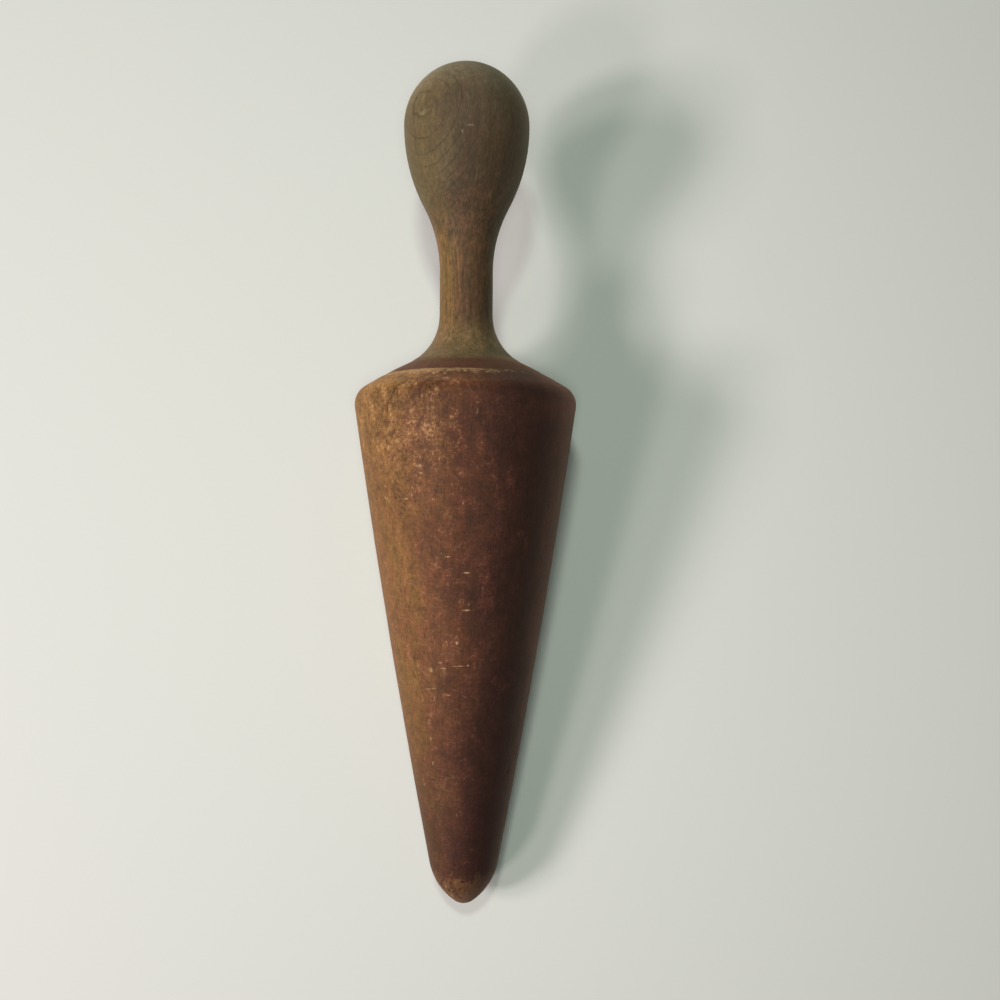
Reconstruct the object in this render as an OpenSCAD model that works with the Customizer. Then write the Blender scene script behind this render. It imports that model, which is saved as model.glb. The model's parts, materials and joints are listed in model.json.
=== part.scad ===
// Wooden masher for a conical sieve, turned on a lathe from two pieces of wood.
// The handle has a round tenon, which is glued into a hole bored in the wide end of the cone,
// and the two were then turned to one flowing outline.
// The masher lies on its side, as on a table: +Z is up, its tip is at -Y and its handle at +Y.
// The origin is on the table, under the middle of the masher. All sizes are in millimetres.

/* [Cone] */
// Greatest diameter of the cone, at its rim
rim_d = 65.4; // [60:0.2:74]
// Distance from the tip to the rim, along the axis
rim_at = 147; // [130:1:170]
// Diameter that the side would have at the very tip, before the tip was rounded
end_d = 15.6; // [12:0.2:20]
// How far the side swells out past a straight cone, half way along
side_swell = 1; // [0.2:0.1:2]
// Radius of the blunt nose
nose_round = 5; // [3:0.5:6]
// Radius of the long rounding between the nose and the side
tip_round = 19; // [12:1:40]
// Radius of the rounding over the rim
rim_round = 6; // [3:0.5:8]

/* [Shoulder] */
// Slope of the bevel inside the rim, measured from square to the axis
bevel_angle = 31; // [28:1:38]
// Diameter of the crisp edge where the bevel ends
edge_d = 47.6; // [44:0.2:52]
// Slope of the shoulder from the crisp edge in to the cove
shoulder_angle = 27; // [18:1:30]
// Radius of the hollow cove between the shoulder and the neck
cove_round = 16; // [8:1:22]

/* [Handle] */
// Length of the handle from its seat on the cone to the top of the bulb
handle_len = 87.6; // [80:0.2:110]
// Diameter of the handle's foot, where it sits on the cone
foot_d = 30.5; // [24:0.5:38]
// Diameter of the neck
neck_d = 15.8; // [13:0.2:20]
// Diameter of the bulb
bulb_d = 37.2; // [32:0.2:44]
// Radius of the long curve under the bulb
flank_round = 50; // [30:1:70]
// Radius of the hollow curve between the neck and the bulb
waist_round = 41; // [25:1:60]

/* [Tenon] */
// Diameter of the tenon under the handle's foot
tenon_d = 16; // [10:0.5:22]
// Length of the tenon
tenon_len = 32; // [16:1:60]
// Bevel on the tenon's end
tenon_bevel = 1.5; // [0.5:0.25:3]
// Glue gap all round the tenon
glue_gap = 0.1; // [0.05:0.05:0.3]
// Room left under the tenon for spare glue
glue_room = 2; // [1:0.5:5]
// Angle across the point of the bit that bored the hole
bit_angle = 118; // [90:2:140]

/* [Hidden] */
$fn = 96;
// Steps in which a rounding and the long side of the cone are drawn
round_steps = 10;
side_steps = 12;
// Two points closer than this are one point
hair = 0.001;

// The outline is drawn as points of [radius, height above the tip], on a standing axis.
// An arc is given by its centre, its radius and its two end angles.
function arc(c, r, a0, a1, n = round_steps) =
    [for (i = [0:n]) let (a = a0 + (a1 - a0) * i / n) c + r * [cos(a), sin(a)]];
// Angle at which a vector points, from 0 to 360
function bearing(v) = (atan2(v.y, v.x) + 360) % 360;
// Angle at which a vector points, from -180 to 180
function slant(v) = atan2(v.y, v.x);
// Centre that lies d1 from one centre and d2 from another, to the left (1) or right (-1)
function meet(c1, d1, c2, d2, side) =
    let (v = c2 - c1, d = norm(v), u = v / d, a = (d1 * d1 - d2 * d2 + d * d) / (2 * d))
    c1 + a * u + side * sqrt(d1 * d1 - a * a) * [-u.y, u.x];
// Total of a list
function total(v) = v * [for (x = v) 1];

// Cone: nose, long rounding, swelling side and rounded rim, each running smoothly into the next
nose_c = [0, nose_round];
rim_c = [rim_d / 2 - rim_round, rim_at];
end_point = [end_d / 2, 0];
side_chord = norm([rim_d / 2, rim_at] - end_point);
side_r = (side_chord * side_chord / 4 + side_swell * side_swell) / (2 * side_swell);
side_c = meet(end_point, side_r, rim_c, side_r - rim_round, 1);
tip_c = meet(nose_c, tip_round - nose_round, side_c, side_r - tip_round, -1);

// Shoulder: bevel, crisp edge, sloping shoulder and the cove up into the neck
bevel_top = rim_c + rim_round * [sin(bevel_angle), cos(bevel_angle)];
edge_point = [edge_d / 2, bevel_top.y + (bevel_top.x - edge_d / 2) * tan(bevel_angle)];
function shoulder_height(r) = edge_point.y + (edge_point.x - r) * tan(shoulder_angle);
neck_r = neck_d / 2;
cove_x = neck_r + cove_round;
cove_c = [cove_x, shoulder_height(cove_x) + cove_round / cos(shoulder_angle)];
cove_edge_r = cove_x - cove_round * sin(shoulder_angle);

// The joint: a flat seat across the outline, at the height where it has the foot's radius
foot_r = foot_d / 2;
cove_drop = sqrt(max(cove_round * cove_round - pow(cove_x - foot_r, 2), 0));
seat_z = foot_r < cove_edge_r ? cove_c.y - cove_drop : shoulder_height(foot_r);

// Handle: neck, waist, flank and a round cap
bulb_r = bulb_d / 2;
top_z = seat_z + handle_len;
bulb_c = [0, top_z - bulb_r];
flank_c = [bulb_r - flank_round, bulb_c.y];
waist_x = neck_r + waist_round;
waist_rise = sqrt(pow(flank_round + waist_round, 2) - pow(waist_x - flank_c.x, 2));
waist_c = [waist_x, bulb_c.y - waist_rise];

raw_outline = concat(
    arc(nose_c, nose_round, -90, slant(nose_c - tip_c)),
    arc(tip_c, tip_round, slant(nose_c - tip_c), slant(tip_c - side_c)),
    arc(side_c, side_r, slant(tip_c - side_c), slant(rim_c - side_c), side_steps),
    arc(rim_c, rim_round, slant(rim_c - side_c), 90 - bevel_angle),
    [edge_point],
    arc(cove_c, cove_round, 270 - shoulder_angle, 180),
    arc(waist_c, waist_round, 180, bearing(flank_c - waist_c)),
    arc(flank_c, flank_round, slant(waist_c - flank_c), 0),
    arc(bulb_c, bulb_r, 0, 90, 2 * round_steps)
);
outline = [
    for (i = [0:len(raw_outline) - 1])
        if (i == 0 || norm(raw_outline[i] - raw_outline[i - 1]) > hair) raw_outline[i]
];

// Centre of gravity of the turned shape, as slices between one point and the next
slices = [for (i = [1:len(outline) - 1]) [outline[i - 1], outline[i]]];
slice_volume = [
    for (s = slices) let (a = s[0], b = s[1])
        (b.y - a.y) * (a.x * a.x + a.x * b.x + b.x * b.x) / 3
];
slice_moment = [
    for (s = slices) let (a = s[0], b = s[1])
        (b.y - a.y) * (a.y * (3 * a.x * a.x + 2 * a.x * b.x + b.x * b.x)
            + b.y * (a.x * a.x + 2 * a.x * b.x + 3 * b.x * b.x)) / 12
];
balance_z = total(slice_moment) / total(slice_volume);

// A swollen side rests at one point, straight below both its own centre and the balance point
lie_angle = atan((side_c.y - balance_z) / -side_c.x);
lift = side_r - (side_c.y * sin(lie_angle) - side_c.x * cos(lie_angle));
tip_y = nose_c.y * cos(lie_angle) - nose_round;
top_y = bulb_c.y * cos(lie_angle) + bulb_r;

// The hole for the tenon
socket_r = tenon_d / 2 + glue_gap;
socket_floor = seat_z - tenon_len - glue_room;
bit_tip = socket_floor - socket_r / tan(bit_angle / 2);

// A drawn half outline, spun round the standing axis
module turned(half) {
    rotate_extrude() polygon(half);
}

// Lays the standing masher on its side, on the table
module lay_down() {
    translate([0, -(tip_y + top_y) / 2, lift])
        rotate([lie_angle - 90, 0, 0])
            children();
}

// The working end, bored for the tenon
module cone() {
    side = [for (p = outline) if (p.y < seat_z - hair) p];
    color("#6b432d")
        lay_down()
            turned(concat(
                side,
                [
                    [foot_r, seat_z],
                    [socket_r, seat_z],
                    [socket_r, socket_floor],
                    [0, bit_tip]
                ]
            ));
}

// The grip, with the tenon under its foot
module handle() {
    side = [for (p = outline) if (p.y > seat_z + hair) p];
    tenon_r = tenon_d / 2;
    tenon_end = seat_z - tenon_len;
    color("#6a563a")
        lay_down()
            turned(concat(
                [
                    [0, tenon_end],
                    [tenon_r - tenon_bevel, tenon_end],
                    [tenon_r, tenon_end + tenon_bevel],
                    [tenon_r, seat_z],
                    [foot_r, seat_z]
                ],
                side
            ));
}

cone();
handle();
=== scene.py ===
# %% [markdown]
# # Dressing a turned wooden masher
# This masher presses cooked fruit and vegetables through a conical sieve. It is two pieces of beech
# turned on a lathe: a cone, and a handle whose tenon is glued into the cone.
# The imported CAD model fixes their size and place. It is loaded first and never moved, and the
# dressed pieces are then made right on top of it.

# %% Load the CAD model as a fixed frame
import json
import math
import bpy
import numpy as np
from mathutils import Matrix, Vector


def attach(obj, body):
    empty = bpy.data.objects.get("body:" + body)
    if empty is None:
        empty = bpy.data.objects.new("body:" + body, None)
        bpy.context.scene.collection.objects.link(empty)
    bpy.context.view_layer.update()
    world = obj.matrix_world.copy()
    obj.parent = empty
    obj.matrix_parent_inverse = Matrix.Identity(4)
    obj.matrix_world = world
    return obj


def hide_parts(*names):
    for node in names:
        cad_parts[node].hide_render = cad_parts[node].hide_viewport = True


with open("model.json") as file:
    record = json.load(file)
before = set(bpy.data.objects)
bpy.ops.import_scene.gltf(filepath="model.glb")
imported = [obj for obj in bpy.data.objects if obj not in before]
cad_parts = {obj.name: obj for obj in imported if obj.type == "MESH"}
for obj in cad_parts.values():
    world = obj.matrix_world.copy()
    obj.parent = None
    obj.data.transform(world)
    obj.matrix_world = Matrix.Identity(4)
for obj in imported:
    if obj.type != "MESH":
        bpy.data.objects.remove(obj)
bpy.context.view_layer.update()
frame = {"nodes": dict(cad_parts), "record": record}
MM = 0.001
print("pieces:", sorted(frame["nodes"]))

# %% [markdown]
# ## The turning axis
# Everything on a turned piece is placed by its height along the axis and its angle round it.
# The record states the axis: the mount on the cone starts at the end of the nose and points out of it.
# So a standing frame is used below, in millimetres: the tip at the origin, Z up the axis, and
# angles measured from the side that faces the camera, positive to the right.

# %% Find the axis and the turn that lays the masher down
nose = next(m for m in frame["record"]["mounts"] if m["name"] == "cone_side")
tip = Vector(nose["pos_m"])
axis = -Vector(nose["axis"]).normalized()
lie_turn = math.asin(axis.z) - math.pi / 2
right = Vector((1, 0, 0))
up = right.cross(axis)
print("the axis rises", round(math.degrees(math.asin(axis.z)), 2), "degrees")

# %% [markdown]
# ## The camera
# The photograph was taken from nearly straight above, square to the axis of the masher and a third
# of a metre away, so the nearer rim looks a little larger than it would from afar.
# The camera is therefore placed from the masher itself: so far up the axis, so far off it, and then
# turned and tilted by the small angles that a hand-held camera has.

# %% Place the camera
VIEW_HEIGHT = 119.1 * MM
VIEW_DISTANCE = 340.3 * MM
VIEW_TURN = math.radians(-1.727)
VIEW_ROLL = math.radians(0.251)

camera = bpy.data.objects.new("camera", bpy.data.cameras.new("camera"))
bpy.context.scene.collection.objects.link(camera)
camera.data.sensor_width = 36
camera.data.lens = 41.4
square_on = Matrix((right, axis, up)).transposed().to_4x4()
camera.matrix_world = (
    Matrix.Translation(tip + axis * VIEW_HEIGHT + up * VIEW_DISTANCE)
    @ square_on
    @ Matrix.Rotation(VIEW_TURN, 4, "Y")
    @ Matrix.Rotation(VIEW_ROLL, 4, "Z")
)
bpy.context.scene.camera = camera

# %% [markdown]
# ## One helper for every node
# Geometry Nodes and materials are both trees of nodes. One small function adds a node, fills its
# sockets and hands back one of its outputs, so that a tree reads from top to bottom like a recipe.

# %% Add a node
def add(tree, kind, inputs=(), out=0, **settings):
    """Adds a node and returns one of its outputs, by number or name.

    kind is Blender's name for the node without its ShaderNode, GeometryNode or FunctionNode.
    settings are its properties. inputs fill its sockets, in order or by name: an output of another
    node is linked, any other value is set, and None leaves the socket as it is.
    """
    families = ("GeometryNode", "FunctionNode", "ShaderNode") if tree.type == "GEOMETRY" else ("ShaderNode",)
    node = tree.nodes.new(next(family + kind for family in families if hasattr(bpy.types, family + kind)))
    for name, value in settings.items():
        setattr(node, name, value)
    sockets = [s for s in node.inputs if s.enabled]
    if isinstance(inputs, dict):
        pairs = [(next(s for s in sockets if s.name == name), value) for name, value in inputs.items()]
    else:
        pairs = list(zip(sockets, inputs))
    for socket, value in pairs:
        if isinstance(value, bpy.types.NodeSocket):
            tree.links.new(value, socket)
        elif value is not None:
            socket.default_value = value
    outputs = [s for s in node.outputs if s.enabled]
    return outputs[out] if isinstance(out, int) else next(s for s in outputs if s.name == out)


# %% [markdown]
# ## The outline of each piece
# A turner works to one line, the outline. The CAD piece already has it: each ring of its points
# gives one radius at one height. The rings are read off the CAD piece and a smooth curve is drawn
# through them, so the dressed piece has the same shape with more rings.
# A corner stays a corner, and a long straight run keeps its direction where it meets a curve.

# %% Read the rings of a CAD piece
# rings closer than this are one ring, and on a flat face the wider of two rings counts as higher
SAME_POINT = 0.02
LEVEL = 0.001


def rings_of(node):
    """The rings of a turned CAD piece as rows of [radius, height], from the lowest up, in mm."""
    points = np.array([v.co for v in frame["nodes"][node].data.vertices]) - np.array(tip)
    heights = points @ np.array(axis)
    radii = np.linalg.norm(points - np.outer(heights, np.array(axis)), axis=1)
    rings = []
    radii[radii < SAME_POINT * MM] = 0
    for height, radius in sorted(zip(heights / MM, radii / MM)):
        if all(math.dist((radius, height), ring) > SAME_POINT for ring in rings[-12:]):
            rings.append((radius, height))
    return np.array(sorted(rings, key=lambda ring: ring[1] + LEVEL * ring[0]))


cone_rings = rings_of("cone")
handle_rings = rings_of("handle")
print("rings:", len(cone_rings), "on the cone,", len(handle_rings), "on the handle")

# %% Split off the hidden joint
# The widest ring at the handle's foot is its seat; what lies below it is the tenon. The tenon's flat
# end has no point in its middle, so one is added to close it.
# In the upper half of the cone, rings narrower than that foot are the bore for the tenon.
foot = next(i for i in range(1, len(handle_rings)) if handle_rings[i, 0] > handle_rings[i - 1, 0] + 5
            and handle_rings[i, 1] > cone_rings[-1, 1] - 1)
foot_radius, seat_height = handle_rings[foot]
tenon = np.vstack([[0, handle_rings[0, 1]], handle_rings[:foot]])
handle_skin = handle_rings[foot:]
in_bore = (cone_rings[:, 0] < foot_radius - 1) & (cone_rings[:, 1] > seat_height / 2)
bore = cone_rings[in_bore][::-1]
cone_skin = cone_rings[~in_bore]
print("seat at", round(seat_height, 2), "mm, foot radius", round(foot_radius, 2), "mm")
print("tenon", tenon.round(2).tolist(), "bore", bore.round(2).tolist())


# %% Find the corners of an outline
SHARP = math.radians(12)
SLIGHT = math.radians(2)
STRAIGHT = math.radians(0.3)


def corners_of(points):
    """The numbers of the points where an outline turns sharply, or where two straight runs of it meet."""
    ways = np.diff(points, axis=0)
    bearings = np.unwrap(np.arctan2(ways[:, 1], ways[:, 0]))
    turns = np.abs(np.diff(bearings))
    found = []
    for i in range(1, len(turns) - 1):
        meets = turns[i] > SLIGHT and turns[i - 1] < STRAIGHT and turns[i + 1] < STRAIGHT
        if meets or turns[i] > SHARP:
            found.append(i + 1)
    return found


edge_radius, edge_height = cone_skin[corners_of(cone_skin)[-1]]
print("crisp edge at", round(edge_height, 2), "mm, radius", round(edge_radius, 2), "mm")


# %% Draw a smooth outline through the rings
def smooth_outline(points, spacing):
    """Points on a smooth curve through the given ones, about `spacing` apart."""
    steps = np.diff(points, axis=0)
    lengths = np.linalg.norm(steps, axis=1)
    ways = steps / lengths[:, None]
    arrive = np.vstack([ways[:1], ways])
    leave = np.vstack([ways, ways[-1:]])
    for i in set(range(1, len(points) - 1)) - set(corners_of(points)):
        before, after = lengths[i - 1], lengths[i]
        if before > 3 * after:
            way = ways[i - 1]
        elif after > 3 * before:
            way = ways[i]
        else:
            way = ways[i - 1] * after + ways[i] * before
        arrive[i] = leave[i] = way / np.linalg.norm(way)
    curve = []
    for i, length in enumerate(lengths):
        count = max(1, round(length / spacing))
        t = (np.arange(count) / count)[:, None]
        start, end = points[i], points[i + 1]
        out_way, in_way = leave[i] * length, arrive[i + 1] * length
        curve.append(
            (2 * t**3 - 3 * t**2 + 1) * start + (t**3 - 2 * t**2 + t) * out_way
            + (3 * t**2 - 2 * t**3) * end + (t**3 - t**2) * in_way
        )
    return np.vstack([*curve, points[-1:]])


RING_SPACING = 0.5
cone_line = smooth_outline(cone_skin, RING_SPACING)
handle_line = smooth_outline(handle_skin, RING_SPACING * 0.8)
print("outline points:", len(cone_line), "cone,", len(handle_line), "handle")


# %% Keep each outline as an object that Geometry Nodes can read
def outline_object(name, before, skin, after):
    """A line of points at (radius, 0, height), with the attribute `skin` at 1 where it shows."""
    rows = np.vstack([part for part in (before, skin, after) if len(part)])
    mesh = bpy.data.meshes.new(name)
    mesh.from_pydata([(radius, 0, height) for radius, height in rows], [], [])
    shows = mesh.attributes.new("skin", "FLOAT", "POINT")
    shows.data.foreach_set("value", [0.0] * len(before) + [1.0] * len(skin) + [0.0] * len(after))
    item = bpy.data.objects.new(name, mesh)
    bpy.context.scene.collection.objects.link(item)
    return item


cone_outline = outline_object("cone_outline", [], cone_line, bore)
handle_outline = outline_object("handle_outline", tenon, handle_line, [])

# %% [markdown]
# ## Dents, the crack and the chipped nose
# Years of use leave marks that are deep enough to show in the shape. Each is a smooth pit with a
# place, a radius and a depth, and a crack is a row of small pits. `tone` says how the wood looks
# inside: pale where fresh wood shows, dark where dirt has gathered.

# %% List the marks that can be told apart
# angle in degrees, height, radius and depth in mm, tone from -1 (dark) to 1 (pale)
CONE_MARKS = [
    (-46.0, 8.4, 1.0, 0.40, -0.9),
    (-52.0, 7.4, 0.9, 0.35, -0.9),
    (-43.0, 6.6, 1.5, 0.30, 0.7),
    (-36.0, 5.6, 0.9, 0.35, -1.0),
    (-36.9, 3.6, 1.8, 0.12, 0.6),
    (-57.0, 9.2, 0.8, 0.25, -0.6),
    (-34.0, 8.6, 0.8, 0.25, -0.8),
    (-2.1, 8.9, 1.2, 0.35, -0.9),
    (4.0, 7.6, 0.9, 0.25, 0.6),
    (-43.9, 14.1, 0.8, 0.10, -0.5),
    (-31.4, 14.2, 0.8, 0.10, -0.5),
    (-13.9, 14.2, 1.1, 0.12, -0.6),
    (-10.0, 16.1, 0.6, 0.08, -0.5),
    (14.4, 15.7, 0.7, 0.10, -0.5),
    (16.5, 13.8, 0.9, 0.12, -0.6),
    (54.0, 41.0, 0.7, 0.40, -1.0),
    (-57.0, 154.7, 0.8, 0.25, 0.8),
    (-19.1, 153.9, 1.4, 0.12, 0.6),
    (-12.7, 153.8, 1.4, 0.12, 0.6),
    (-6.5, 154.0, 1.2, 0.10, 0.5),
    (0.1, 154.5, 1.2, 0.10, 0.5),
]
HANDLE_MARKS = [
    (4.4, 224.1, 0.9, 0.12, 0.5),
    (-4.4, 222.4, 0.9, 0.12, 0.5),
    (-48.0, 223.2, 0.7, 0.08, -0.6),
]
CRACK_TOP = (-37.0, 150.6)
CRACK_END = (-44.5, 140.2)
CRACK_STEPS = 40


def crack_marks(top, end):
    """A drying crack: a row of pits from one place to the other, widest near the top."""
    marks = []
    for i in range(CRACK_STEPS + 1):
        t = i / CRACK_STEPS
        angle = top[0] + (end[0] - top[0]) * t + 0.7 * math.sin(9 * t)
        height = top[1] + (end[1] - top[1]) * t
        size = 1 - 0.5 * t
        marks.append((angle, height, 0.45 * size, 0.8 * size, -1.0))
    return marks


# %% Keep the marks as points that Geometry Nodes can read
def radius_at(line, height):
    """The outline's radius at a height, both in mm."""
    order = np.argsort(line[:, 1])
    return float(np.interp(height, line[order, 1], line[order, 0]))


def marks_object(name, line, marks):
    """Points on the skin, with the attributes `ding_radius`, `ding_depth` and `ding_tone`."""
    places = []
    for angle, height, *_ in marks:
        radius = radius_at(line, height)
        turn = math.radians(angle)
        places.append((radius * math.sin(turn), -radius * math.cos(turn), height))
    mesh = bpy.data.meshes.new(name)
    mesh.from_pydata(places, [], [])
    for column, attribute in enumerate(("ding_radius", "ding_depth", "ding_tone"), start=2):
        values = mesh.attributes.new(attribute, "FLOAT", "POINT")
        values.data.foreach_set("value", [float(mark[column]) for mark in marks])
    item = bpy.data.objects.new(name, mesh)
    bpy.context.scene.collection.objects.link(item)
    return item


cone_marks = marks_object("cone_marks", cone_line, CONE_MARKS + crack_marks(CRACK_TOP, CRACK_END))
handle_marks = marks_object("handle_marks", handle_line, HANDLE_MARKS)
print("marks:", len(cone_marks.data.vertices), "on the cone,", len(handle_marks.data.vertices), "on the handle")

# %% [markdown]
# ## A lathe made of nodes
# A turned piece is one line spun round an axis, so its shape follows a rule, and a rule is what
# Geometry Nodes are for. The tree takes a flat grid, reads the outline for each row and bends the
# row into a ring. Then it wears the piece: slow unevenness, the faint ridges of the turning tool,
# random dents, the listed marks, and edges rubbed round. All wear goes inwards, so the worn piece
# never leaves the CAD piece's box.

# %% Name the lathe's inputs
lathe = bpy.data.node_groups.new("turned_wood", "GeometryNodeTree")
LATHE_INPUTS = [
    ("Outline", "Object", None),
    ("Marks", "Object", None),
    ("Columns", "Int", 256),
    ("Crowded at", "Float", 0.0),
    ("Crowding", "Float", 0.0),
    ("Unevenness", "Float", 0.2),
    ("Tool ridges", "Float", 0.02),
    ("Dents per mm2", "Float", 0.01),
    ("Dent depth", "Float", 0.1),
    ("Worn edge height", "Float", 0.0),
    ("Edge wear", "Float", 0.0),
    ("Joint height", "Float", 0.0),
    ("Seed", "Int", 1),
    ("Tip", "Vector", (0.0, 0.0, 0.0)),
    ("Lie turn", "Float", 0.0),
    ("Material", "Material", None),
]
for name, kind, value in LATHE_INPUTS:
    socket = lathe.interface.new_socket(name, in_out="INPUT", socket_type="NodeSocket" + kind)
    if value is not None:
        socket.default_value = value
lathe.interface.new_socket("Geometry", in_out="OUTPUT", socket_type="NodeSocketGeometry")
given = lathe.nodes.new("NodeGroupInput").outputs
print("the lathe has", len(LATHE_INPUTS), "inputs")

# %% Lay out one ring for each point of the outline
outline = add(lathe, "ObjectInfo", [given["Outline"]], out="Geometry")
rows = add(lathe, "AttributeDomainSize", [outline], component="MESH")
verts_round = add(lathe, "IntegerMath", [given["Columns"], 1], operation="ADD")
grid = add(lathe, "MeshGrid", [1.0, 1.0, rows, verts_round])
index = add(lathe, "InputIndex")
row = add(lathe, "IntegerMath", [index, verts_round], operation="DIVIDE_FLOOR")
column = add(lathe, "IntegerMath", [index, verts_round], operation="MODULO")
outline_place = add(lathe, "InputPosition")
ring = add(lathe, "SampleIndex", [outline, outline_place, row], data_type="FLOAT_VECTOR")
ring_radius = add(lathe, "SeparateXYZ", [ring], out="X")
ring_height = add(lathe, "SeparateXYZ", [ring], out="Z")
skin_here = add(lathe, "InputNamedAttribute", ["skin"], data_type="FLOAT")
skin = add(lathe, "SampleIndex", [outline, skin_here, row], data_type="FLOAT")

# %% Crowd the columns towards one angle
# The angle goes once round. Taking away a sine wave of itself makes the steps short near "Crowded
# at", where a crack needs a fine mesh, and a little longer on the far side.
share = add(lathe, "Math", [column, given["Columns"]], operation="DIVIDE")
even = add(lathe, "Math", [share, math.tau], operation="MULTIPLY")
wave = add(lathe, "Math", [even], operation="SINE")
pull = add(lathe, "Math", [wave, given["Crowding"]], operation="MULTIPLY")
turn = add(lathe, "Math", [even, pull], operation="SUBTRACT")
turn = add(lathe, "Math", [turn, given["Crowded at"]], operation="ADD")
sine = add(lathe, "Math", [turn], operation="SINE")
cosine = add(lathe, "Math", [turn], operation="COSINE")
across = add(lathe, "Math", [ring_radius, sine], operation="MULTIPLY")
away = add(lathe, "Math", [ring_radius, cosine], operation="MULTIPLY")
away = add(lathe, "Math", [away, -1.0], operation="MULTIPLY")
place = add(lathe, "CombineXYZ", [across, away, ring_height])
spun = add(lathe, "SetPosition", {"Geometry": grid, "Position": place})
spun = add(lathe, "StoreNamedAttribute", [spun, None, "skin", skin], data_type="FLOAT", domain="POINT")
spun = add(lathe, "FlipFaces", [spun])
spun = add(lathe, "MergeByDistance", {"Geometry": spun, "Distance": 0.0005})

# %% Scatter random dents and join them with the listed marks
marks = add(lathe, "ObjectInfo", [given["Marks"]], out="Geometry")
marks = add(lathe, "MeshToPoints", [marks])
dents = add(
    lathe, "DistributePointsOnFaces",
    {"Mesh": spun, "Density": given["Dents per mm2"], "Seed": given["Seed"]},
)
for offset, attribute, low, high in ((1, "ding_radius", 0.5, 1.9), (2, "ding_tone", -0.4, 0.3)):
    seed = add(lathe, "IntegerMath", [given["Seed"], offset], operation="ADD")
    value = add(lathe, "RandomValue", {"Min": low, "Max": high, "Seed": seed}, data_type="FLOAT", out="Value")
    dents = add(lathe, "StoreNamedAttribute", [dents, None, attribute, value], data_type="FLOAT")
seed = add(lathe, "IntegerMath", [given["Seed"], 3], operation="ADD")
depth = add(lathe, "RandomValue", {"Max": given["Dent depth"], "Seed": seed}, data_type="FLOAT", out="Value")
dents = add(lathe, "StoreNamedAttribute", [dents, None, "ding_depth", depth], data_type="FLOAT")
join = lathe.nodes.new("GeometryNodeJoinGeometry")
lathe.links.new(dents, join.inputs[0])
lathe.links.new(marks, join.inputs[0])
all_marks = join.outputs[0]

# %% Press the marks into the skin
nearest = add(lathe, "SampleNearest", [all_marks], domain="POINT")
sampled = {}
for attribute in ("ding_radius", "ding_depth", "ding_tone"):
    here = add(lathe, "InputNamedAttribute", [attribute], data_type="FLOAT")
    sampled[attribute] = add(lathe, "SampleIndex", [all_marks, here, nearest], data_type="FLOAT")
mark_place = add(
    lathe, "SampleIndex",
    [all_marks, add(lathe, "InputPosition"), nearest], data_type="FLOAT_VECTOR",
)
here = add(lathe, "InputPosition")
gap = add(lathe, "VectorMath", [here, mark_place], operation="DISTANCE", out="Value")
dish = add(
    lathe, "MapRange",
    {"Value": gap, "From Min": 0.0, "From Max": sampled["ding_radius"], "To Min": 1.0, "To Max": 0.0},
    interpolation_type="SMOOTHSTEP",
)
skin_now = add(lathe, "InputNamedAttribute", ["skin"], data_type="FLOAT")
dish = add(lathe, "Math", [dish, skin_now], operation="MULTIPLY")
tone = add(lathe, "Math", [dish, sampled["ding_tone"]], operation="MULTIPLY")
worn = add(lathe, "StoreNamedAttribute", [spun, None, "mark_tone", tone], data_type="FLOAT")
pressed = add(lathe, "Math", [dish, sampled["ding_depth"]], operation="MULTIPLY")

# %% Add slow unevenness and tool ridges
# Noise is 0 to 1, so each of these only ever goes inwards.
slow = add(lathe, "TexNoise", {"Vector": here, "Scale": 1 / 28, "Detail": 2.0}, out="Fac")
slow = add(lathe, "Math", [slow, given["Unevenness"]], operation="MULTIPLY")
height = add(lathe, "SeparateXYZ", [here], out="Z")
along = add(lathe, "Math", [height, 1 / 2.2], operation="MULTIPLY")
ridges = add(lathe, "TexNoise", {"W": along, "Scale": 1.0, "Detail": 1.0}, out="Fac", noise_dimensions="1D")
ridges = add(lathe, "Math", [ridges, given["Tool ridges"]], operation="MULTIPLY")
inward = add(lathe, "Math", [slow, ridges], operation="ADD")
inward = add(lathe, "Math", [inward, pressed], operation="ADD")

# %% Rub the crisp edge and keep the joint closed
# At the joint the skin may only move level, or the two pieces would part there.
rough = add(lathe, "TexNoise", {"Vector": here, "Scale": 1 / 2.5, "Detail": 3.0}, out="Fac")
near = {}
for centre, reach in (("Worn edge height", 1.2), ("Joint height", 0.6)):
    off = add(lathe, "Math", [height, given[centre]], operation="SUBTRACT")
    off = add(lathe, "Math", [off], operation="ABSOLUTE")
    near[centre] = add(
        lathe, "MapRange",
        {"Value": off, "From Min": 0.0, "From Max": reach, "To Min": 1.0, "To Max": 0.0},
        interpolation_type="SMOOTHSTEP",
    )
cut = add(lathe, "Math", [near["Worn edge height"], given["Edge wear"]], operation="MULTIPLY")
cut = add(lathe, "Math", [cut, rough], operation="MULTIPLY")
inward = add(lathe, "Math", [inward, cut], operation="ADD")
inward = add(lathe, "Math", [inward, skin_now], operation="MULTIPLY")
inward = add(lathe, "Math", [inward, -1.0], operation="MULTIPLY")
normal = add(lathe, "InputNormal")
level = add(lathe, "Math", [1.0, near["Joint height"]], operation="SUBTRACT")
level = add(lathe, "CombineXYZ", [1.0, 1.0, level])
normal = add(lathe, "VectorMath", [normal, level], operation="MULTIPLY")
offset = add(lathe, "VectorMath", {"Vector": normal, "Scale": inward}, operation="SCALE")
worn = add(lathe, "SetPosition", {"Geometry": worn, "Offset": offset})

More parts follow.
